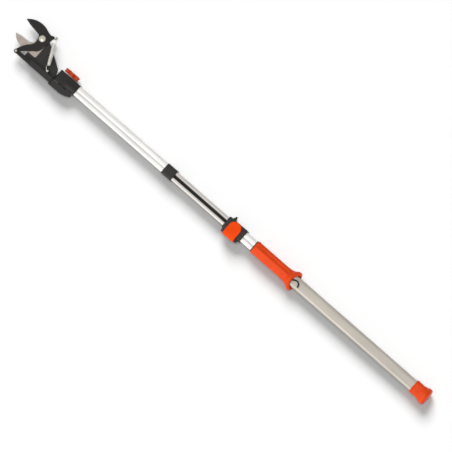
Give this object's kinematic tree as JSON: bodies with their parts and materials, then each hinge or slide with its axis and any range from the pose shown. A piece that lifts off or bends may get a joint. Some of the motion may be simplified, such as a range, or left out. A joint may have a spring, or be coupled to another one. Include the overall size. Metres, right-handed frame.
{
  "type": "tree pruner pole",
  "caption": "Telescopic pole pruner with a sliding pull grip, cord, cam clamp, tilting head and a sprung bypass blade closing on a fixed hook.",
  "frame": {"origin": "centre of the butt cap's flat end face, on the pole's axis", "axes": "+X along the pole from butt to cutting head, +Z square to the blades, +Y to the link's side of the head"},
  "size_m": [1.6, 0.1185, 0.0557],
  "materials": {
    "orange_plastic": "moulded orange nylon, satin",
    "black_plastic": "moulded black glass-filled nylon, fine grain",
    "bright_aluminium": "drawn aluminium tube, bright satin",
    "grey_aluminium": "drawn aluminium tube, dull satin",
    "coated_steel": "black non-stick coating on steel",
    "blade_steel": "ground blade steel",
    "fastener_steel": "zinc-plated steel",
    "spring_steel": "bright plated spring wire",
    "cord_fibre": "black braided polyester cord"
  },
  "bodies": {
    "root": {"butt_cap": "orange_plastic", "cap_rivets": "fastener_steel", "handle_tube": "grey_aluminium", "top_bush": "black_plastic", "outer_tube": "bright_aluminium", "tube_rivets": "fastener_steel", "clamp_body": "black_plastic", "lever_pin": "fastener_steel", "brake_shoe": "black_plastic", "adjust_screw": "black_plastic", "clamp_set_screw": "fastener_steel"},
    "grip": {"grip": "orange_plastic", "grip_carrier": "fastener_steel", "cleat_screw": "fastener_steel", "cord_tail": "cord_fibre"},
    "lever": {"clamp_lever": "orange_plastic"},
    "pole": {"inner_tube": "grey_aluminium", "guide_shoe": "black_plastic", "guide_collar": "black_plastic", "collar_rivets": "fastener_steel", "head_tube": "bright_aluminium", "tilt_socket": "black_plastic", "socket_screws": "fastener_steel"},
    "cord": {"pull_cord": "cord_fibre"},
    "head": {"head_body": "black_plastic", "counter_blade": "blade_steel", "blade_rivets": "fastener_steel", "pivot_bolt": "fastener_steel", "pivot_nut": "fastener_steel", "pivot_washer": "fastener_steel", "tilt_bolt": "fastener_steel", "tilt_washer": "fastener_steel", "friction_disc": "black_plastic", "anchor_post": "fastener_steel", "return_spring": "spring_steel", "head_cord": "cord_fibre"},
    "knob": {"tilt_knob": "orange_plastic"},
    "roller": {"guide_roller": "fastener_steel"},
    "blade": {"blade": "coated_steel", "tail_post": "fastener_steel"},
    "link": {"link": "coated_steel", "link_pin": "fastener_steel", "cord_ferrule": "fastener_steel"}
  },
  "joints": [
    {"name": "grip_pull", "type": "slide", "parent": "root", "child": "grip", "axis": [-1, 0, 0], "range_m": [0, 0.058], "stiffness_N_per_m": 450, "springref_m": -0.03, "deforming": ["head_cord", "return_spring"]},
    {"name": "clamp_lever_flip", "type": "hinge", "parent": "root", "child": "lever", "pos_m": [0.739, 0.0245, 0.008], "axis": [-1, 0, 0], "range_deg": [0, 85]},
    {"name": "pole_extend", "type": "slide", "parent": "root", "child": "pole", "axis": [1, 0, 0], "range_m": [-0.175, 0.34]},
    {"name": "cord_pull", "type": "slide", "parent": "pole", "child": "cord", "axis": [-1, 0, 0], "range_m": [0, 0.058]},
    {"name": "head_tilt", "type": "hinge", "parent": "pole", "child": "head", "pos_m": [1.3923, 0, 0], "axis": [0, 1, 0], "range_deg": [-80, 80], "deforming": ["head_cord"]},
    {"name": "knob_turn", "type": "hinge", "parent": "head", "child": "knob", "pos_m": [1.3923, -0.027, 0], "axis": [0, 1, 0], "range_deg": [0, 540]},
    {"name": "roller_spin", "type": "hinge", "parent": "head", "child": "roller", "pos_m": [1.3923, 0, 0], "axis": [0, 1, 0], "continuous": true},
    {"name": "blade_close", "type": "hinge", "parent": "head", "child": "blade", "pos_m": [1.5269, -0.0472, 0.004], "axis": [0, 0, 1], "range_deg": [0, 42], "deforming": ["return_spring"]},
    {"name": "link_swing", "type": "hinge", "parent": "blade", "child": "link", "pos_m": [1.5614, 0.0287, 0.0076], "axis": [0, 0, 1], "range_deg": [-42, 0], "deforming": ["head_cord"]}
  ],
  "couplings": [
    {"joint": "cord_pull", "follows": "grip_pull", "ratio": 1},
    {"joint": "blade_close", "follows": "grip_pull", "rad_per_m": 12.6},
    {"joint": "link_swing", "follows": "grip_pull", "rad_per_m": -12.6}
  ]
}
